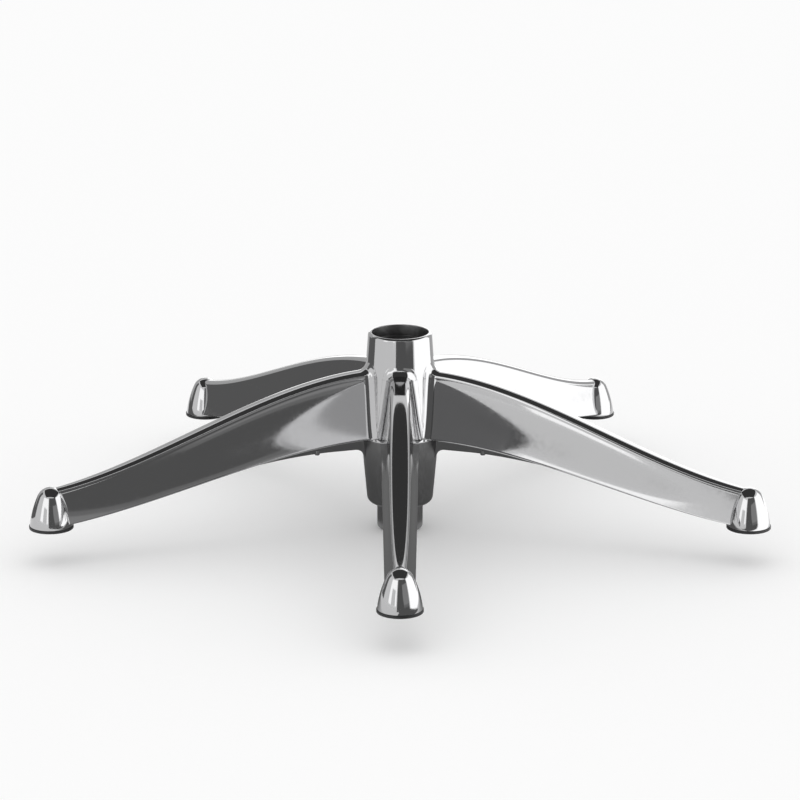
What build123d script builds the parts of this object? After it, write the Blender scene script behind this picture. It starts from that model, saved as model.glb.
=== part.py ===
from build123d import *
from math import cos, radians, sin, sqrt
import os

# Five-arm star base of an office chair, in millimetres, +Z up.
# The origin is on the column axis, on the flat lower end of the hub, and one arm points along -Y.
# Along an arm, s is the distance from the column axis.

# Star
ARM_COUNT = 5
FIRST_ARM_ANGLE = -90.0      # the front arm, in degrees from +X
SOCKET_CIRCLE_R = 318.0      # column axis to castor stem axis

# Hub: two drafted cones that meet at the parting height, above a short nose
HUB_HEIGHT = 181.0
HUB_MOUTH_R = 28.2
PARTING_Z = 87.0
PARTING_R = 34.6
BOSS_BOTTOM_Z = 25.0
BOSS_BOTTOM_R = 29.0
NOSE_R = 20.4
MOUTH_ROUND = 2.4
BOSS_ROUND = 5.0
NOSE_ROUND = 4.0

# Column seat: a parallel lead-in, a 1:20 taper, a relief below it and a way out through the nose
COLUMN_R = 25.0
COLUMN_CLEARANCE = 0.15
LEAD_IN_LENGTH = 10.0
TAPER_LENGTH = 85.0
TAPER_LARGE_R = 24.8
TAPER_PER_MM = 1 / 40        # loss of radius per millimetre of depth
RELIEF_FLOOR_Z = 31.0
NOSE_BORE_R = 12.0

# Arm: an upside-down channel with a rounded spine and flanks that flare to the foot.
# Each group of four is the control heights or half widths of a cubic curve from the hub to the socket.
ARM_START_S = 22.0
ARM_END_INSET = 4.0          # the arm ends this far short of the stem axis, inside the dome
FEET_APART = 5.7             # between the feet of neighbouring arms where they leave the hub
RIDGE_Z = (148.9, 148.8, 84.3, 66.4)
FOOT_Z = (89.0, 90.9, 46.1, 34.8)
SPINE_HALF = (8.7, 8.7, 10.4, 5.4)
FOOT_HALF = (PARTING_R * sin(radians(180 / ARM_COUNT)) - FEET_APART / 2, 15.6, 13.9, 12.2)
SPINE_DROP = 5.2             # from the ridge down to the edge of the spine
FLANK_LEAN = 0.6             # how far the flank has moved out a reach below the edge of the spine
FLANK_REACH = 12.0
CORNER_RISE = 4.0
WALL = 3.2
ROOT_FILLET = 5.5

# Ribs under the arm
KEEL_THICKNESS = 3.2
KEEL_LEVEL_S = 60.0          # the keel's lower edge is level up to here
KEEL_Z = (76.2, 76.2, 49.8, 34.6)
KEEL_FILLET = 8.0
RIB_THICKNESS = 3.0
RIB_PITCH = 41.5
FIRST_RIB_S = 77.0
RIB_COUNT = 5
RIB_RECESS = 7.0
PADDED_RIBS = (0, 2)         # ribs with an ejector pad under them, counted from the hub
PAD_R = 2.2
PAD_PROUD = 1.3

# Dome over the castor stem, and its bush
DOME_R = 18.7
DOME_BASE_Z = 33.5
DOME_TOP_Z = 67.6
DOME_CROWN_R = 12.2
DOME_SHOULDER = 25.0         # where the side meets the round crown, in degrees above the crown's centre
BUSH_FLANGE_R = 19.3
BUSH_FLANGE_THICKNESS = 2.5
BUSH_SLEEVE_R = 8.0
BUSH_SLEEVE_LENGTH = 22.0
BUSH_CLEARANCE = 0.05
STEM_R = 5.5
STEM_CLEARANCE = 0.05

UPWARDS = (Align.CENTER, Align.CENTER, Align.MIN)


def cubic(controls, start, end, s):
    """Value at s of a cubic curve whose four controls are evenly spaced from start to end."""
    t = (s - start) / (end - start)
    a, b, c, d = controls
    return a * (1 - t) ** 3 + 3 * b * t * (1 - t) ** 2 + 3 * c * t * t * (1 - t) + d * t ** 3


def arm_end():
    """Where the arm's skin ends inside the dome."""
    return SOCKET_CIRCLE_R - ARM_END_INSET


def along_arm(controls, s):
    """Value at s of one of the arm's cubic curves."""
    return cubic(controls, ARM_START_S, arm_end(), s)


def thirds(start, end):
    """Four evenly spaced places, where a cubic curve has its controls."""
    return [start + (end - start) * i / 3 for i in range(4)]


def standing(height, lower_r, upper_r, z):
    """A cone, or a cylinder where both radii are the same, on the column axis with its lower end at z."""
    if lower_r == upper_r:
        return Pos(0, 0, z) * Cylinder(lower_r, height, align=UPWARDS)
    return Pos(0, 0, z) * Cone(lower_r, upper_r, height, align=UPWARDS)


def arm_turns():
    """The angle of each arm, counted from the first."""
    return [360.0 / ARM_COUNT * i for i in range(ARM_COUNT)]


def around(shape):
    """A copy of a shape on every arm."""
    return [Rot(0, 0, turn) * shape for turn in arm_turns()]


def between_arms(shape):
    """A round shape with its seam turned to lie between two arms."""
    return Rot(0, 0, 180.0 / ARM_COUNT) * shape


def boss_r(z):
    """Outside radius of the lower boss, whose cone carries on upwards as the inner end of each hollow."""
    return BOSS_BOTTOM_R + (PARTING_R - BOSS_BOTTOM_R) * (z - BOSS_BOTTOM_Z) / (PARTING_Z - BOSS_BOTTOM_Z)


def hub():
    """The hub, solid: barrel, lower boss and nose."""
    barrel = standing(HUB_HEIGHT - PARTING_Z, PARTING_R, HUB_MOUTH_R, PARTING_Z)
    barrel = fillet(barrel.edges().group_by(Axis.Z)[-1], MOUTH_ROUND)
    boss = standing(PARTING_Z - BOSS_BOTTOM_Z, BOSS_BOTTOM_R, PARTING_R, BOSS_BOTTOM_Z)
    boss = fillet(boss.edges().group_by(Axis.Z)[0], BOSS_ROUND)
    nose = standing(BOSS_BOTTOM_Z, NOSE_R, NOSE_R, 0)
    nose = fillet(nose.edges().group_by(Axis.Z)[0], NOSE_ROUND)
    return between_arms(barrel + boss + nose)


def flank(spine_half, edge_z, foot_half, foot_z):
    """Controls of one flank's curve from the edge of the spine to the foot, as pairs of y and z."""
    flare = 0.45 * (foot_half - spine_half)
    return [
        (spine_half, edge_z),
        (spine_half + FLANK_LEAN, edge_z - FLANK_REACH),
        (foot_half - flare, foot_z + 0.3 * (edge_z - foot_z)),
        (foot_half, foot_z),
    ]


def crown(spine_half, ridge_z):
    """Controls of the right half of the spine's curve, from its edge to the ridge."""
    edge_z = ridge_z - SPINE_DROP
    lean = FLANK_LEAN * CORNER_RISE / FLANK_REACH
    return [
        (spine_half, edge_z),
        (spine_half - lean, edge_z + CORNER_RISE),
        (spine_half * 0.62, ridge_z),
        (0, ridge_z),
    ]


def mirrored(points):
    """Pairs of y and z on the other side of the arm, in the opposite order."""
    return [(-y, z) for y, z in reversed(points)]


def channel(places, crowns, flanks):
    """A closed solid along the arm, from control sections of the right half of its crown and its right flank."""
    def patch(sections):
        return Face.make_bezier_surface([[(s, y, z) for y, z in points] for s, points in zip(places, sections)])

    def both_sides(sections):
        return [patch(sections), patch([mirrored(points) for points in sections])]

    def cap(i):
        lines = [crowns[i], flanks[i], mirrored(crowns[i]), mirrored(flanks[i])]
        curves = [Edge.make_bezier(*[(places[i], y, z) for y, z in points]) for points in lines]
        foot = Edge.make_line((places[i], *flanks[i][-1]), (places[i], *mirrored(flanks[i])[0]))
        return make_face([*curves, foot])

    feet = [[points[-1], mirrored(points)[0]] for points in flanks]
    return Solid(Shell([*both_sides(crowns), *both_sides(flanks), patch(feet), cap(0), cap(-1)]))


def arm_outside():
    """The skin of one arm, from inside the hub to inside the dome."""
    crowns = [crown(half, ridge) for half, ridge in zip(SPINE_HALF, RIDGE_Z)]
    flanks = [
        flank(spine, ridge - SPINE_DROP, foot_half, foot)
        for spine, ridge, foot_half, foot in zip(SPINE_HALF, RIDGE_Z, FOOT_HALF, FOOT_Z)
    ]
    return channel(thirds(ARM_START_S, arm_end()), crowns, flanks)


def arm_inside():
    """The inside of the arm's walls, carried on below the foot so that it cuts right through."""
    crowns, flanks = [], []
    for spine, ridge, foot_half, foot in zip(SPINE_HALF, RIDGE_Z, FOOT_HALF, FOOT_Z):
        edge_z = ridge - SPINE_DROP - WALL / 2
        half = spine - WALL
        crowns.append([(half, edge_z), (half * 0.5, ridge - WALL), (0, ridge - WALL)])
        flanks.append(flank(half, edge_z, foot_half - WALL, foot - WALL))
    return channel(thirds(ARM_START_S, arm_end()), crowns, flanks)


def root_edges(star):
    """The edges where the arms meet the barrel: the ones that lie on the hub and rise above the foot."""
    found = []
    for edge in star.edges().filter_by(GeomType.BSPLINE):
        points = [edge @ share for share in (0.0, 0.5, 1.0)]
        near = all(sqrt(p.X ** 2 + p.Y ** 2) < PARTING_R + 1 for p in points)
        if near and max(p.Z for p in points) > FOOT_Z[0] + ROOT_FILLET:
            found.append(edge)
    return found


def dome():
    """The domed end of the arm over the castor stem: a round crown on a side that bulges a little."""
    shoulder = radians(DOME_SHOULDER)
    centre_z = DOME_TOP_Z - DOME_CROWN_R
    meet = (DOME_CROWN_R * cos(shoulder), centre_z + DOME_CROWN_R * sin(shoulder))
    middle = radians(DOME_SHOULDER / 2 + 45)
    over = (DOME_CROWN_R * cos(middle), centre_z + DOME_CROWN_R * sin(middle))
    side = TangentArc(meet, (DOME_R, DOME_BASE_Z), tangent=(sin(shoulder), -cos(shoulder)))
    top = ThreePointArc((0, DOME_TOP_Z), over, meet)
    base = Polyline((DOME_R, DOME_BASE_Z), (0, DOME_BASE_Z), (0, DOME_TOP_Z))
    half = Plane.XZ * make_face([top, side, base])
    return Pos(SOCKET_CIRCLE_R, 0, 0) * revolve(half, Axis.Z)


def keel_end():
    """Where the keel's lower edge runs into the dome."""
    return SOCKET_CIRCLE_R - DOME_R * 0.8


def keel_z(s):
    """Height of the keel's lower edge past its level stretch."""
    return cubic(KEEL_Z, KEEL_LEVEL_S, keel_end(), s)


def keel():
    """The rib along the middle of the arm, which hangs below the walls, with its ejector pads."""
    root_z = KEEL_Z[0]
    level = FilletPolyline(
        (boss_r(BOSS_BOTTOM_Z), 0, BOSS_BOTTOM_Z), (boss_r(root_z), 0, root_z), (KEEL_LEVEL_S, 0, root_z),
        radius=KEEL_FILLET
    )
    curved = Bezier(*[(s, 0, z) for s, z in zip(thirds(KEEL_LEVEL_S, keel_end()), KEEL_Z)])
    roof = Bezier(*[(s, 0, z - WALL / 2) for s, z in zip(thirds(ARM_START_S, arm_end()), RIDGE_Z)])
    end = Polyline(curved @ 1, (SOCKET_CIRCLE_R, 0, KEEL_Z[-1]), roof @ 1)
    start = Polyline(roof @ 0, (ARM_START_S, 0, BOSS_BOTTOM_Z), level @ 0)
    plate = extrude(make_face([level, curved, end, roof, start]), KEEL_THICKNESS / 2, dir=(0, 1, 0), both=True)
    places = [rib_places()[i] for i in PADDED_RIBS]
    pads = [Pos(s, 0, keel_z(s) - PAD_PROUD) * Cylinder(PAD_R, 2 * PAD_R, align=UPWARDS) for s in places]
    return plate.fuse(*pads)


def rib_places():
    """Where the cross ribs stand along the arm."""
    return [FIRST_RIB_S + RIB_PITCH * i for i in range(RIB_COUNT)]


def cross_rib(s):
    """A plate across the arm at s, before it is trimmed to the hollow."""
    low = along_arm(FOOT_Z, s) + RIB_RECESS
    width = 2 * along_arm(FOOT_HALF, s)
    return Pos(s, 0, low) * Box(RIB_THICKNESS, width, along_arm(RIDGE_Z, s) - low, align=UPWARDS)


def hollow():
    """The space under one arm, between the boss and the dome, with the cross ribs left standing in it."""
    boss = standing(HUB_HEIGHT - BOSS_BOTTOM_Z, BOSS_BOTTOM_R, boss_r(HUB_HEIGHT), BOSS_BOTTOM_Z)
    socket = Pos(SOCKET_CIRCLE_R, 0, 0) * Cylinder(DOME_R + 0.5, HUB_HEIGHT, align=UPWARDS)
    return arm_inside().cut(between_arms(boss), socket, *[cross_rib(s) for s in rib_places()])


def column_seat():
    """The space for the gas column, from the mouth of the hub down through the nose."""
    lead_in_r = COLUMN_R + COLUMN_CLEARANCE
    lead_in_z = HUB_HEIGHT - LEAD_IN_LENGTH
    taper_z = lead_in_z - TAPER_LENGTH
    taper_small_r = TAPER_LARGE_R - TAPER_LENGTH * TAPER_PER_MM
    return between_arms(
        standing(LEAD_IN_LENGTH, lead_in_r, lead_in_r, lead_in_z)
        + standing(TAPER_LENGTH, taper_small_r, TAPER_LARGE_R, taper_z)
        + standing(taper_z - RELIEF_FLOOR_Z, taper_small_r, taper_small_r, RELIEF_FLOOR_Z)
        + standing(RELIEF_FLOOR_Z, NOSE_BORE_R, NOSE_BORE_R, 0)
    )


def sleeve_seat():
    """The blind counterbore for a bush's sleeve."""
    seat_r = BUSH_SLEEVE_R + BUSH_CLEARANCE
    return Pos(SOCKET_CIRCLE_R, 0, 0) * standing(BUSH_SLEEVE_LENGTH + BUSH_CLEARANCE, seat_r, seat_r, DOME_BASE_Z)


def base_casting():
    """The whole star as one casting, with its first arm along +X."""
    star = hub().fuse(*around(arm_outside()))
    star = fillet(root_edges(star), ROOT_FILLET)
    star = star.fuse(*around(dome()))
    star = star.cut(*around(hollow()))
    star = star.fuse(*around(keel()))
    return star.cut(column_seat(), *around(sleeve_seat()))


def castor_bush():
    """A flanged bush: the flange closes the dome, and the sleeve lines its socket."""
    flange_z = DOME_BASE_Z - BUSH_FLANGE_THICKNESS
    bore_r = STEM_R + STEM_CLEARANCE
    whole = BUSH_FLANGE_THICKNESS + BUSH_SLEEVE_LENGTH
    bush = standing(BUSH_FLANGE_THICKNESS, BUSH_FLANGE_R, BUSH_FLANGE_R, flange_z)
    bush += standing(whole, BUSH_SLEEVE_R, BUSH_SLEEVE_R, flange_z)
    return Pos(SOCKET_CIRCLE_R, 0, 0) * (bush - standing(whole, bore_r, bore_r, flange_z))


os.makedirs("parts", exist_ok=True)
export_step(Rot(0, 0, FIRST_ARM_ANGLE) * base_casting(), "parts/base_casting.step")
for number, bush in enumerate(around(castor_bush()), 1):
    export_step(Rot(0, 0, FIRST_ARM_ANGLE) * bush, f"parts/castor_bush_{number}.step")
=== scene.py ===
# %% [markdown]
# # Office chair base
#
# The base is one casting in polished aluminium: a hub, five hollow arms and a dome at the end of
# each arm. A black plastic bush closes each dome from below.
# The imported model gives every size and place, in metres. Its triangles are coarse for a mirror
# finish, so each form is modelled again here with a smooth surface, where the model has it.

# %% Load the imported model
from math import atan2, cos, hypot, pi, radians, sin, sqrt

import bpy
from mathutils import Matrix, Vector


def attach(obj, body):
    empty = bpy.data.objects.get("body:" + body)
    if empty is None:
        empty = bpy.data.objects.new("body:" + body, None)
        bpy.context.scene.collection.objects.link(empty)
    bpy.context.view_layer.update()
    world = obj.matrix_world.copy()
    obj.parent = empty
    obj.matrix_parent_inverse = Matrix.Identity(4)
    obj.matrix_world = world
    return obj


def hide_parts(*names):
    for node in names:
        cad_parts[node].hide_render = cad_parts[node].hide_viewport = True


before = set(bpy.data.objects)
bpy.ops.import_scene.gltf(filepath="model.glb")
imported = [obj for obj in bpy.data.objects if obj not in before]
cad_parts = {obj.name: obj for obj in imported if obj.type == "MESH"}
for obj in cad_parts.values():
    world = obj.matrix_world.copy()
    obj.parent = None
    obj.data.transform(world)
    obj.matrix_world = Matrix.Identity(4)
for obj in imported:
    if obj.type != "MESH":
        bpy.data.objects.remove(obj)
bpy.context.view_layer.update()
print("nodes:", sorted(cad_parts))

# %% [markdown]
# ## The camera
#
# A long lens a little over three metres away looks slightly down on the base, as in the
# photograph. Place, tilt and lens were solved from the five domes, which lie on one circle.
# The Standard view transform shows a colour about as it is written.

# %% Camera
CAMERA_PLACE = (0, -3.023, 0.976)
CAMERA_TILT = 15.84

camera_data = bpy.data.cameras.new("camera")
camera_data.sensor_width = 36
camera_data.lens = 159.3
camera = bpy.data.objects.new("camera", camera_data)
camera.location = CAMERA_PLACE
camera.rotation_euler = (radians(90 - CAMERA_TILT), 0, 0)
bpy.context.scene.collection.objects.link(camera)
bpy.context.scene.camera = camera
bpy.context.scene.view_settings.view_transform = "Standard"
print("camera height in mm:", round(camera.location.z * 1000))

# %% [markdown]
# ## Sizes
#
# The sizes are in millimetres, as in the model's own source, with z up from the flat end of the
# hub. Along an arm, s is the distance from the hub's axis. Each group of four numbers is the
# control points of one cubic curve from the hub to the dome, evenly spaced along the arm.
# The rounded root and the lean of the upper flank are set by what the metal mirrors in the
# photograph, so the surface lies up to 1.6 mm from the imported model's there.

# %% Sizes in millimetres
MM = 0.001
ARMS = 5
SOCKET_S = 318.0
ARM_START_S, ARM_END_S = 22.0, 314.0
RIDGE_Z = (148.9, 148.8, 84.3, 66.4)
FOOT_Z = (89.0, 90.9, 46.1, 34.8)
SPINE_HALF = (8.7, 8.7, 10.4, 5.4)
FOOT_HALF = (17.49, 15.6, 13.9, 12.2)
WALL = 3.2
ROOT_FILLET = 9.0
PARTING_R, PARTING_Z = 34.6, 87.0
MOUTH_R, HUB_Z = 28.2, 181.0


def along_arm(controls, s, start=ARM_START_S, end=ARM_END_S):
    """Value at s of a cubic curve with evenly spaced control points."""
    t = (s - start) / (end - start)
    a, b, c, d = controls
    return a * (1 - t) ** 3 + 3 * b * t * (1 - t) ** 2 + 3 * c * t * t * (1 - t) + d * t ** 3


print("ridge height at mid arm:", round(along_arm(RIDGE_Z, 170), 1))

# %% [markdown]
# ## Small helpers
#
# Operators act on what is selected, so each piece starts from a clean selection. A finished
# piece rides on the base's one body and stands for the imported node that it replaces.


# %% Helpers for objects
def select_only(*objects):
    """Selects these objects and makes the first one active."""
    bpy.ops.object.select_all(action="DESELECT")
    for item in objects:
        item.select_set(True)
    bpy.context.view_layer.objects.active = objects[0]


def edit(item, action, **settings):
    """Runs one mesh operator on all of an object in edit mode."""
    select_only(item)
    bpy.ops.object.mode_set(mode="EDIT")
    bpy.ops.mesh.select_all(action="SELECT")
    action(**settings)
    bpy.ops.object.mode_set(mode="OBJECT")


def apply_modifier(item, kind, **settings):
    """Adds a modifier with these settings and applies it."""
    select_only(item)
    modifier = item.modifiers.new(kind.lower(), kind)
    for name, value in settings.items():
        setattr(modifier, name, value)
    bpy.ops.object.modifier_apply(modifier=modifier.name)


def smooth(item, angle):
    """Shades an object smooth, apart from edges sharper than this angle in degrees."""
    select_only(item)
    bpy.ops.object.shade_smooth_by_angle(angle=radians(angle))


def mesh_object(name, points, edges):
    """An object from points in millimetres and the edges between them."""
    mesh = bpy.data.meshes.new(name)
    mesh.from_pydata([Vector(p) * MM for p in points], edges, [])
    item = bpy.data.objects.new(name, mesh)
    bpy.context.scene.collection.objects.link(item)
    return item


def own_copy(item, name):
    """A copy of an object with its own mesh."""
    copy = item.copy()
    copy.data = item.data.copy()
    copy.name = name
    bpy.context.scene.collection.objects.link(copy)
    return copy


def join(name, *items):
    """Joins objects into one, with the first one's place."""
    select_only(*items)
    bpy.ops.object.join()
    items[0].name = name
    return items[0]


# %% Helpers for finished pieces
def turned_copy(item, name, angle):
    """A copy with its own mesh, turned about the hub's axis."""
    copy = own_copy(item, name)
    copy.rotation_euler = (0, 0, angle)
    select_only(copy)
    bpy.ops.object.transform_apply(location=False, rotation=True, scale=False)
    return copy


def finish_piece(item, node, material):
    """Gives a piece its material and its place on the base."""
    item.data.materials.clear()
    item.data.materials.append(material)
    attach(item, "root")
    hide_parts(node)
    print(item.name, "faces:", len(item.data.polygons))


# %% [markdown]
# ## Turned forms
#
# The hub, the domes and the bushes are round. Each could be a cylinder that is extruded ring by
# ring, but a profile that is spun about its axis, as on a lathe, shows all its sizes in one list.
# The profile's corners are rounded first, while they are still points.


# %% A helper that spins a profile
def place_in_mm(vertex):
    """A vertex's place in millimetres, rounded so that it can be looked up."""
    return tuple(round(c / MM, 3) for c in vertex.co)


def spun(name, profile, rounds, axis_s, steps):
    """Spins a closed profile of (radius, z) points about an upright axis at s.

    rounds gives the radius for the corner at a point's number in the profile.
    """
    points = [(axis_s + r, 0, z) for r, z in profile]
    count = len(points)
    item = mesh_object(name, points, [(i, (i + 1) % count) for i in range(count)])
    corners = {place_in_mm(item.data.vertices[i]): size for i, size in rounds.items()}
    select_only(item)
    for size in sorted(set(rounds.values())):
        for edge in item.data.edges:
            edge.select = False
        for vertex in item.data.vertices:
            vertex.select = corners.get(place_in_mm(vertex)) == size
        bpy.ops.object.mode_set(mode="EDIT")
        bpy.ops.mesh.select_mode(type="VERT")
        bpy.ops.mesh.bevel(offset=size * MM, offset_type="OFFSET", segments=6, affect="VERTICES")
        bpy.ops.object.mode_set(mode="OBJECT")
    edit(
        item, bpy.ops.mesh.spin, steps=steps, angle=2 * pi,
        center=(axis_s * MM, 0, 0), axis=(0, 0, 1)
    )
    edit(item, bpy.ops.mesh.remove_doubles, threshold=0.00001)
    edit(item, bpy.ops.mesh.normals_make_consistent, inside=False)
    smooth(item, 28)
    print(name, "faces:", len(item.data.polygons))
    return item


# %% [markdown]
# ## The hub
#
# The hub is a tall barrel with a slight draft, a boss below the parting line and a short nose.
# Inside, from the top: a parallel lead-in, a taper that holds by friction, a relief, and a
# narrow way out through the nose. All of it is one closed profile.

# %% Hub
LEAD_IN_R, LEAD_IN_Z = 25.15, 171.0
TAPER_TOP_R = 24.8
RELIEF_R, RELIEF_TOP_Z = 22.675, 86.0
WAY_OUT_R, WAY_OUT_TOP_Z = 12.0, 31.0
BOSS_R, BOSS_Z = 29.0, 25.0
NOSE_R = 20.4
HUB_ROUNDS = {6: 0.6, 7: 2.4, 8: 0.7, 9: 5.0, 11: 4.0}

hub_profile = [
    (WAY_OUT_R, 0.0), (WAY_OUT_R, WAY_OUT_TOP_Z),
    (RELIEF_R, WAY_OUT_TOP_Z), (RELIEF_R, RELIEF_TOP_Z),
    (TAPER_TOP_R, LEAD_IN_Z), (LEAD_IN_R, LEAD_IN_Z), (LEAD_IN_R, HUB_Z),
    (MOUTH_R, HUB_Z), (PARTING_R, PARTING_Z), (BOSS_R, BOSS_Z),
    (NOSE_R, BOSS_Z), (NOSE_R, 0.0)
]
hub = spun("hub", hub_profile, HUB_ROUNDS, 0, 144)

# %% [markdown]
# ## The arm
#
# An arm is an upside-down channel. Its skin could be a block that is cut again and again, but a
# polished arm needs even reflections. A NURBS surface with four by four control points is one
# smooth patch, and a crown patch and a flank patch make half of the skin. A mirror makes the
# other half.

# %% Surface patches of the arm
CROWN_DROP = 5.2
FLANK_LEAN, LEAN_DROP = 2.4, 12


def patch(name, sections, detail):
    """A smooth patch along the arm from four cross sections of four (y, z) points each."""
    bpy.ops.surface.primitive_nurbs_surface_surface_add(location=(0, 0, 0))
    item = bpy.context.object
    item.name = name
    spline = item.data.splines[0]
    spline.use_endpoint_u = spline.use_endpoint_v = True
    spline.order_u = spline.order_v = 4
    for i, section in enumerate(sections):
        s = ARM_START_S + (ARM_END_S - ARM_START_S) * i / 3
        for j, (y, z) in enumerate(section):
            spline.points[4 * i + j].co = (s * MM, y * MM, z * MM, 1)
    spline.resolution_u = detail
    spline.resolution_v = 24
    select_only(item)
    bpy.ops.object.convert(target="MESH")
    return item


crowns, flanks = [], []
for ridge, foot, spine, foot_half in zip(RIDGE_Z, FOOT_Z, SPINE_HALF, FOOT_HALF):
    edge = ridge - CROWN_DROP
    crowns.append([(0, ridge), (0.62 * spine, ridge), (spine - 0.2, edge + 4), (spine, edge)])
    upper = (spine + FLANK_LEAN, edge - LEAN_DROP)
    low = (foot_half - 0.45 * (foot_half - spine), foot + 0.3 * (edge - foot))
    flanks.append([(spine, edge), upper, low, (foot_half, foot)])

skin = join("arm_skin", patch("crown", crowns, detail=12), patch("flank", flanks, detail=6))
print("half skin faces:", len(skin.data.polygons))

# %% [markdown]
# ## The root of the arm
#
# Where an arm leaves the hub, the casting has a rounded root like a soft weld. A ball rolled
# along that corner shows how far the skin moves out. The skin is first cut every fifth of a
# millimetre where it meets the barrel, so that the edge of the root is even there. Then each of
# its points near the hub moves out along its normal by what the ball gives.

# %% Cuts near the root and the other half of the skin
SKIN_START_S = 26
FINE_CUTS = [26.2 + 0.2 * i for i in range(30)]
WIDER_CUTS = [32.5, 33.0, 33.6, 34.3, 35.2, 36.4, 37.8, 39.4, 41.2]
MERGE = 0.00002

edit(skin, bpy.ops.mesh.remove_doubles, threshold=MERGE)
across_arm = {"plane_no": (1, 0, 0)}
edit(skin, bpy.ops.mesh.bisect, plane_co=(SKIN_START_S * MM, 0, 0), clear_inner=True, **across_arm)
for s in FINE_CUTS + WIDER_CUTS:
    edit(skin, bpy.ops.mesh.bisect, plane_co=(s * MM, 0, 0), **across_arm)
apply_modifier(skin, "MIRROR", use_axis=(False, True, False), merge_threshold=MERGE)
edit(skin, bpy.ops.mesh.normals_make_consistent, inside=False)
if max(skin.data.vertices, key=lambda v: v.co.z).normal.z < 0:
    edit(skin, bpy.ops.mesh.flip_normals)
print("whole skin faces:", len(skin.data.polygons))

# %% Rounded root
CONE = atan2(PARTING_R - MOUTH_R, HUB_Z - PARTING_Z)
ROOT_END_X = 0.05


def root_shift(point, normal):
    """How far a point of the skin moves out for a ball that rolls between arm and barrel."""
    r = hypot(point.x, point.y)
    barrel_r = PARTING_R - (point.z - PARTING_Z) * (PARTING_R - MOUTH_R) / (HUB_Z - PARTING_Z)
    barrel_normal = Vector((point.x / r * cos(CONE), point.y / r * cos(CONE), sin(CONE)))
    c = max(-0.9, min(0.9, normal.dot(barrel_normal)))
    across = sqrt(1 - c * c)
    u = (r - barrel_r) * cos(CONE) / across
    ball_u = ROOT_FILLET * (1 - c) / across
    reach = min(ball_u - u, 1.04 * ROOT_FILLET * across)
    if reach <= 0:
        return 0
    held = min(reach, 0.96 * ROOT_FILLET * across)
    rise = sqrt(ROOT_FILLET ** 2 - held ** 2)
    return ROOT_FILLET - rise + (reach - held) * held / rise


near_hub = [v for v in skin.data.vertices if v.co.x < ROOT_END_X]
shifts = [(v, v.normal.copy(), root_shift(v.co / MM, v.normal)) for v in near_hub]
for vertex, normal, shift in shifts:
    vertex.co += normal * shift * MM
print("points moved at the root:", sum(shift > 0 for _, _, shift in shifts))

# %% [markdown]
# ## Walls
#
# The real arm is hollow from below, with a wall of about three millimetres. Solidify grows the
# wall inwards from the skin, and a narrow bevel takes the sharpness off its lower edge.

# %% Wall of the arm
rib_skin = own_copy(skin, "rib_skin")
apply_modifier(skin, "SOLIDIFY", thickness=WALL * MM, offset=-1, use_even_offset=False)
apply_modifier(
    skin, "BEVEL", width=0.5 * MM, segments=2, limit_method="ANGLE", angle_limit=radians(60)
)
smooth(skin, 35)
print("arm skin faces:", len(skin.data.polygons))

# %% [markdown]
# ## Ribs under the arm
#
# Thin plates cross the channel and stiffen it. A plate could be drawn point by point, but a
# slice of the arm's own section always fits: the skin is cut away on both sides of a plane, and
# the outline that stays is closed, trimmed below and given its thickness.

# %% Cross ribs
RIBS = 5
RIB_START_S, RIB_PITCH = 77, 41.5
RIB_ABOVE_FOOT = 7
RIB_WALL = 3

ribs = []
for number in range(RIBS):
    s = RIB_START_S + RIB_PITCH * number
    rib = own_copy(rib_skin, "rib")
    edit(
        rib, bpy.ops.mesh.bisect, plane_co=(s * MM, 0, 0), plane_no=(1, 0, 0),
        clear_inner=True, clear_outer=True
    )
    half = along_arm(FOOT_HALF, s)
    edit(
        rib, bpy.ops.transform.resize, value=(1, (half - WALL / 2) / half, 1),
        center_override=(s * MM, 0, 0)
    )
    edit(rib, bpy.ops.transform.translate, value=(0, 0, -WALL / 2 * MM))
    edit(rib, bpy.ops.mesh.edge_face_add)
    low = along_arm(FOOT_Z, s) + RIB_ABOVE_FOOT
    edit(
        rib, bpy.ops.mesh.bisect, plane_co=(0, 0, low * MM), plane_no=(0, 0, 1),
        clear_inner=True, clear_outer=False
    )
    apply_modifier(rib, "SOLIDIFY", thickness=RIB_WALL * MM, offset=0)
    ribs.append(rib)
bpy.data.objects.remove(rib_skin)
print("faces in one rib:", len(ribs[0].data.polygons))

# %% [markdown]
# ## The keel
#
# A keel runs under the middle of the arm from the hub to the dome, and two small pads on it take
# the pins that push the casting out of its mould. The keel is a flat strip whose lower edge
# follows a curve, so a grid is laid between the two edges and thickened.

# %% Keel with its two pads
KEEL_WALL = 3.2
KEEL_START_S, KEEL_END_S = 31.5, SOCKET_S - 15
KEEL_LEVEL_END_S = 60
KEEL_Z = (76.2, 76.2, 49.8, 34.6)
KEEL_ROOT_S, KEEL_ROOT_R = 33.6, 8
PAD_S, PAD_R, PAD_DEPTH = (77, 160), 2.2, 4.4


def keel_low(s):
    """Height of the keel's lower edge: a rounded root, a level stretch and a long fall."""
    root = KEEL_ROOT_S + KEEL_ROOT_R - s
    if root > 0:
        return KEEL_Z[0] - KEEL_ROOT_R + sqrt(max(0, KEEL_ROOT_R ** 2 - root ** 2))
    return KEEL_Z[0] if s < KEEL_LEVEL_END_S else along_arm(KEEL_Z, s, KEEL_LEVEL_END_S, KEEL_END_S)


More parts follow.
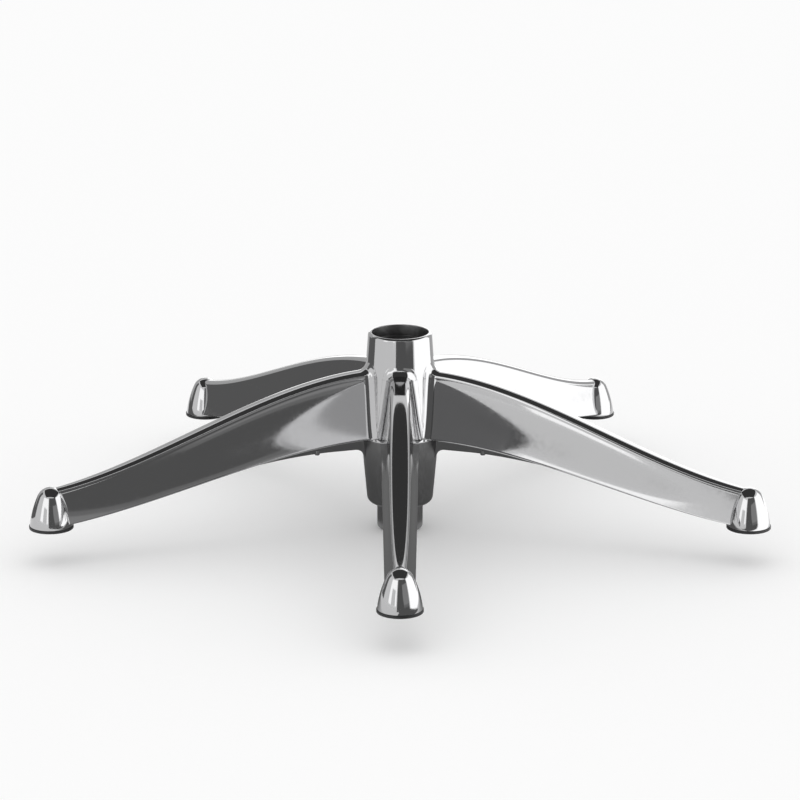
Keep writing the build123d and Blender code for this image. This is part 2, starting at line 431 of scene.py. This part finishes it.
bpy.ops.mesh.primitive_grid_add(x_subdivisions=110, y_subdivisions=1, size=1)
keel = bpy.context.object
for vertex in keel.data.vertices:
    share = vertex.co.x + 0.5
    s = KEEL_START_S + (KEEL_END_S + 3 - KEEL_START_S) * share ** 1.3
    low = min(keel_low(min(s, KEEL_END_S)), along_arm(RIDGE_Z, s) - 3)
    z = low if vertex.co.y < 0 else along_arm(RIDGE_Z, s) - WALL / 2
    vertex.co = Vector((s, 0, z)) * MM
apply_modifier(keel, "SOLIDIFY", thickness=KEEL_WALL * MM, offset=0)
apply_modifier(
    keel, "BEVEL", width=0.7 * MM, segments=3, limit_method="ANGLE", angle_limit=radians(50)
)
pads = []
for s in PAD_S:
    bpy.ops.mesh.primitive_cylinder_add(
        vertices=24, radius=PAD_R * MM, depth=PAD_DEPTH * MM,
        location=(s * MM, 0, (keel_low(s) + 0.9) * MM)
    )
    pad = bpy.context.object
    bpy.ops.object.transform_apply(location=True, rotation=True, scale=True)
    apply_modifier(
        pad, "BEVEL", width=0.4 * MM, segments=2, limit_method="ANGLE", angle_limit=radians(60)
    )
    pads.append(pad)
under_arm = join("under_arm", keel, *pads, *ribs)
edit(under_arm, bpy.ops.mesh.normals_make_consistent, inside=False)
smooth(under_arm, 35)
print("faces under one arm:", len(under_arm.data.polygons))

# %% [markdown]
# ## The dome
#
# Two curves that meet smoothly make the dome's outline: a round crown on a side that bulges a
# little. A Bezier curve with three points draws it, because its handles set the slope at each
# point, and the curve's points become the profile for the lathe.

# %% Dome
DOME_FOOT, DOME_SHOULDER, DOME_TOP = (18.7, 33.5), (11.06, 60.56), (0, 67.6)
SIDE_HANDLE, CROWN_HANDLE = 9.4, 4.74
SEAT_R, SEAT_TOP_Z = 8.05, 55.55

foot_way = Vector((-0.115, 0.993))
shoulder_way = Vector((-sin(radians(25)), cos(radians(25))))
top_way = Vector((-1, 0))
bpy.ops.curve.primitive_bezier_curve_add(location=(0, 0, 0))
outline = bpy.context.object
points = outline.data.splines[0].bezier_points
points.add(1)
handles = [
    (DOME_FOOT, foot_way * SIDE_HANDLE, foot_way * SIDE_HANDLE),
    (DOME_SHOULDER, shoulder_way * SIDE_HANDLE, shoulder_way * CROWN_HANDLE),
    (DOME_TOP, top_way * CROWN_HANDLE, top_way * CROWN_HANDLE),
]
for point, (place, before, after) in zip(points, handles):
    place = Vector(place)
    point.handle_left_type = point.handle_right_type = "FREE"
    point.co = Vector((place.x, 0, place.y)) * MM
    point.handle_left = Vector((place.x - before.x, 0, place.y - before.y)) * MM
    point.handle_right = Vector((place.x + after.x, 0, place.y + after.y)) * MM
outline.data.resolution_u = 14
select_only(outline)
bpy.ops.object.convert(target="MESH")
side = [(v.co.x / MM, v.co.z / MM) for v in outline.data.vertices]
bpy.data.objects.remove(outline)
dome_profile = side + [(0, SEAT_TOP_Z), (SEAT_R, SEAT_TOP_Z), (SEAT_R, DOME_FOOT[1])]
dome = spun("dome", dome_profile, {0: 0.4}, SOCKET_S, 72)

# %% [markdown]
# ## The bush
#
# A bush of black plastic is pressed into each dome from below. Its sleeve is the seat for a
# stem, and its flange is the black ring under the dome. It is spun like the other round forms.

# %% Bush
BUSH_BORE_R, SLEEVE_R, SLEEVE_TOP_Z = 5.55, 8.0, 55.5
FLANGE_R, FLANGE_Z = 19.3, (31.0, 33.5)

bush_profile = [
    (BUSH_BORE_R, FLANGE_Z[0]), (FLANGE_R, FLANGE_Z[0]), (FLANGE_R, FLANGE_Z[1]),
    (SLEEVE_R, FLANGE_Z[1]), (SLEEVE_R, SLEEVE_TOP_Z), (BUSH_BORE_R, SLEEVE_TOP_Z)
]
bush = spun("bush", bush_profile, {0: 0.5, 1: 0.5, 2: 0.3}, SOCKET_S, 64)

# %% [markdown]
# ## Surface marks
#
# No real surface is even. One node group gives every finish its fine marks: a noise at one scale
# changes the roughness, and a second one at a larger scale gives slow waves to the surface.
# Its outputs vary from place to place, so they feed Roughness and the height of a Bump node.

# %% Surface marks, a group that every finish uses
MARK_SOCKETS = {
    "Mark Scale": 300.0, "Wave Scale": 20.0, "Low Roughness": 0.05, "High Roughness": 0.1
}

marks = bpy.data.node_groups.new("surface_marks", "ShaderNodeTree")
for label, value in MARK_SOCKETS.items():
    socket = marks.interface.new_socket(name=label, in_out="INPUT", socket_type="NodeSocketFloat")
    socket.default_value = value
for label in ("Roughness", "Height"):
    marks.interface.new_socket(name=label, in_out="OUTPUT", socket_type="NodeSocketFloat")
group_in = marks.nodes.new("NodeGroupInput").outputs
group_out = marks.nodes.new("NodeGroupOutput").inputs
place = marks.nodes.new("ShaderNodeTexCoord").outputs["Object"]
fine = marks.nodes.new("ShaderNodeTexNoise")
fine.inputs["Detail"].default_value = 3
waves = marks.nodes.new("ShaderNodeTexNoise")
waves.inputs["Detail"].default_value = 2
spread = marks.nodes.new("ShaderNodeMapRange")
spread.inputs["From Min"].default_value = 0.3
spread.inputs["From Max"].default_value = 0.7
for start, end in (
    (place, fine.inputs["Vector"]),
    (place, waves.inputs["Vector"]),
    (group_in["Mark Scale"], fine.inputs["Scale"]),
    (group_in["Wave Scale"], waves.inputs["Scale"]),
    (fine.outputs["Fac"], spread.inputs["Value"]),
    (group_in["Low Roughness"], spread.inputs["To Min"]),
    (group_in["High Roughness"], spread.inputs["To Max"]),
    (spread.outputs["Result"], group_out["Roughness"]),
    (waves.outputs["Fac"], group_out["Height"]),
):
    marks.links.new(start, end)
print("marks group sockets:", len(marks.interface.items_tree))

# %% [markdown]
# ## Finishes
#
# The outside is polished to a mirror that still blurs a little. The underside and the lower boss
# keep the dull skin of the mould, and the bushes are plain black plastic. Three materials could
# be built by hand, but a helper keeps them alike and leaves only their values to choose.


# %% A helper that makes a finish
def finish(name, colour, metallic, marks_values, wave_height):
    """A material with the surface marks on its roughness and its bump."""
    material = bpy.data.materials.new(name)
    material.use_nodes = True
    tree = material.node_tree
    shader = tree.nodes["Principled BSDF"]
    shader.inputs["Base Color"].default_value = (*colour, 1)
    shader.inputs["Metallic"].default_value = metallic
    group = tree.nodes.new("ShaderNodeGroup")
    group.node_tree = marks
    for socket, value in zip(MARK_SOCKETS, marks_values):
        group.inputs[socket].default_value = value
    bump = tree.nodes.new("ShaderNodeBump")
    bump.inputs["Distance"].default_value = wave_height * MM
    tree.links.new(group.outputs["Roughness"], shader.inputs["Roughness"])
    tree.links.new(group.outputs["Height"], bump.inputs["Height"])
    tree.links.new(bump.outputs["Normal"], shader.inputs["Normal"])
    print(name, "roughness from", marks_values[2], "to", marks_values[3])
    return material


# %% Finishes
polished = finish("polished_aluminium", (0.5, 0.5, 0.505), 1.0, (260, 14, 0.045, 0.085), 0.05)
satin = finish("satin_aluminium", (0.3, 0.3, 0.303), 1.0, (420, 120, 0.28, 0.42), 0.06)
plastic = finish("black_plastic", (0.012, 0.012, 0.013), 0.0, (700, 300, 0.38, 0.55), 0.03)

# %% [markdown]
# ## Five of each
#
# Arm, dome and bush are modelled once along X. Each copy has its own mesh and is turned into
# place, the first one towards the camera.

# %% Copies round the hub
for number in range(ARMS):
    angle = radians(-90 + 72 * number)
    name = str(number + 1)
    finish_piece(turned_copy(skin, "arm_" + name, angle), "base_casting", polished)
    finish_piece(turned_copy(under_arm, "arm_ribs_" + name, angle), "base_casting", satin)
    finish_piece(turned_copy(dome, "castor_dome_" + name, angle), "base_casting", polished)
    own_bush = turned_copy(bush, "stem_bush_" + name, angle)
    finish_piece(own_bush, "castor_bush_" + name, plastic)
for pattern in (skin, under_arm, dome, bush):
    bpy.data.objects.remove(pattern)

# %% Two finishes on the hub
BORE_SIDE_R = 25.6

finish_piece(hub, "base_casting", polished)
hub.data.materials.append(satin)
for face in hub.data.polygons:
    outside = hypot(face.center.x, face.center.y) > BORE_SIDE_R * MM
    face.material_index = 0 if outside and face.center.z > PARTING_Z * MM else 1
print("satin faces on the hub:", sum(face.material_index for face in hub.data.polygons))

# %% [markdown]
# ## World and floor
#
# An even white world and a matt, nearly white floor give the pale ground of a catalogue picture.
# The floor keeps the soft shadow that shows where the base stands.

# %% World and floor
world = bpy.data.worlds.new("studio")
bpy.context.scene.world = world
world.use_nodes = True
background = world.node_tree.nodes["Background"]
background.inputs["Color"].default_value = (1, 1, 1, 1)
background.inputs["Strength"].default_value = 1.0

bpy.ops.mesh.primitive_plane_add(size=60, location=(0, 0, 0))
floor = bpy.context.object
floor.name = "floor"
floor_material = bpy.data.materials.new("pale_floor")
floor_material.use_nodes = True
shader = floor_material.node_tree.nodes["Principled BSDF"]
shader.inputs["Base Color"].default_value = (0.97, 0.97, 0.97, 1)
shader.inputs["Roughness"].default_value = 1.0
shader.inputs["Specular IOR Level"].default_value = 0.0
floor.data.materials.append(floor_material)
print("world strength:", background.inputs["Strength"].default_value)

# %% [markdown]
# ## The studio cards
#
# A polished part is photographed among large cards, and what they leave dark or light is what
# the metal shows. Lamps would leave small hot spots instead. The cards stand round the base, out
# of the picture, and only reflections show them. Each one is a grid whose points are moved to
# their places, and its tone is the light that it gives.


# %% Helpers for the cards
def card_material(name, light):
    """A matt card that shows one even tone."""
    material = bpy.data.materials.new(name)
    material.use_nodes = True
    shader = material.node_tree.nodes["Principled BSDF"]
    shader.inputs["Base Color"].default_value = (0, 0, 0, 1)
    shader.inputs["Specular IOR Level"].default_value = 0.0
    shader.inputs["Emission Color"].default_value = (1, 1, 1, 1)
    shader.inputs["Emission Strength"].default_value = light
    return material


def studio_card(name, light, place):
    """A card whose grid points go where place says, for shares from 0 to 1 across and up."""
    bpy.ops.mesh.primitive_grid_add(x_subdivisions=24, y_subdivisions=12, size=1)
    card = bpy.context.object
    card.name = name
    for vertex in card.data.vertices:
        vertex.co = place(vertex.co.x + 0.5, vertex.co.y + 0.5)
    card.data.materials.append(card_material(name, light))
    card.visible_camera = card.visible_diffuse = card.visible_shadow = False
    return card


def upright(start, end, low, high, radius=3.0):
    """Places for a card on an arc; angles in degrees from the camera's side, right is positive.

    low and high are heights, and low may be a pair for the card's two ends.
    """
    def place(across, up):
        angle = radians(start + (end - start) * across)
        bottom = low if isinstance(low, float) else low[0] + (low[1] - low[0]) * across
        return Vector((radius * sin(angle), -radius * cos(angle), bottom + (high - bottom) * up))
    return place


def on_floor(start, end, near, far, height=0.002):
    """Places for a card on the floor, between two angles and two distances from the hub."""
    def place(across, up):
        angle = radians(start + (end - start) * across)
        radius = near + (far - near) * up
        return Vector((radius * sin(angle), -radius * cos(angle), height))
    return place


def ceiling(height, half):
    """Places for a level card over the base."""
    def place(across, up):
        return Vector((half * (2 * across - 1), half * (2 * up - 1), height))
    return place


print("a card's lower corner in m:", tuple(round(c, 2) for c in upright(50, 119, 0.0, 2.4)(0, 0)))

# %% Cards round the base
FRONT_DARK, SIDE_DARK, DARK_GREY, MID_GREY, GREY, WHITE = 0.14, 0.16, 0.24, 0.36, 0.6, 2.0
CARDS = (
    ("front_dark", FRONT_DARK, upright(-14, 46, 0.0, 2.4)),
    ("front_dark_low", FRONT_DARK, on_floor(-4, 46, 0.38, 3.0)),
    ("front_dark_far", FRONT_DARK, on_floor(-14, -4, 1.3, 3.0)),
    ("front_grey_left", DARK_GREY, upright(14, 20, (0.55, 0.14), 1.3, radius=2.9)),
    ("front_grey_right", DARK_GREY, upright(20, 46, 0.14, 1.3, radius=2.9)),
    ("front_pale_left", MID_GREY, upright(14, 20, (0.8, 0.26), 1.3, radius=2.8)),
    ("front_pale_right", MID_GREY, upright(20, 46, 0.26, 1.3, radius=2.8)),
    ("left_light", 1.8, upright(-60, -18, 0.2, 1.9)),
    ("left_pale", 0.95, upright(-45, -25, 0.2, 1.0, radius=2.9)),
    ("right_white", WHITE, upright(50, 119, 0.0, 2.4)),
    ("right_white_low", WHITE, on_floor(50, 126, 0.45, 3.0)),
    ("left_dark", SIDE_DARK, upright(241, 263, 0.0, 2.4)),
    ("left_dark_low", SIDE_DARK, on_floor(222, 263, 0.4, 3.0)),
    ("back_grey_right", GREY, upright(119, 150, 0.0, 2.0)),
    ("back_white_right", WHITE, upright(150, 180, 0.0, 1.9)),
    ("back_white_left", WHITE, upright(180, 192, 0.0, 0.65)),
    ("back_grey_left", GREY, upright(180, 241, 0.0, 2.0, radius=3.1)),
    ("back_grey_low", GREY, on_floor(126, 222, 0.6, 3.0)),
    ("dark_above", 0.06, ceiling(1.6, 1.5)),
)
for name, light, place in CARDS:
    studio_card(name, light, place)
print("cards so far:", len(CARDS))

# %% [markdown]
# ## Painted shade on the ground under the base
#
# Close round the hub the floor lies in the shade of the arms, and the metal mirrors it darker.
# A last card on the floor paints that shade where the metal sees it, in place of the floor's own
# shadow. Its tone rises from the hub outwards, because a sharp edge would show as a line along
# every arm.

# %% Painted shade: a dark card under the base
PAINTED_SHADE_FADE = {"From Min": 0.2, "From Max": 0.38, "To Min": 0.15, "To Max": 0.97}

# Painted shade: a sheet seen only in reflections, dark near the hub where the arms shade the floor
under = studio_card("painted_floor_shade", PAINTED_SHADE_FADE["To Max"], on_floor(0, 360, 0.03, PAINTED_SHADE_FADE["From Max"]))
tree = under.data.materials[0].node_tree
place = tree.nodes.new("ShaderNodeTexCoord")
distance = tree.nodes.new("ShaderNodeVectorMath")
distance.operation = "LENGTH"
fade = tree.nodes.new("ShaderNodeMapRange")
for socket, value in PAINTED_SHADE_FADE.items():
    fade.inputs[socket].default_value = value
tree.links.new(place.outputs["Object"], distance.inputs[0])
tree.links.new(distance.outputs["Value"], fade.inputs["Value"])
tree.links.new(fade.outputs["Result"], tree.nodes["Principled BSDF"].inputs["Emission Strength"])
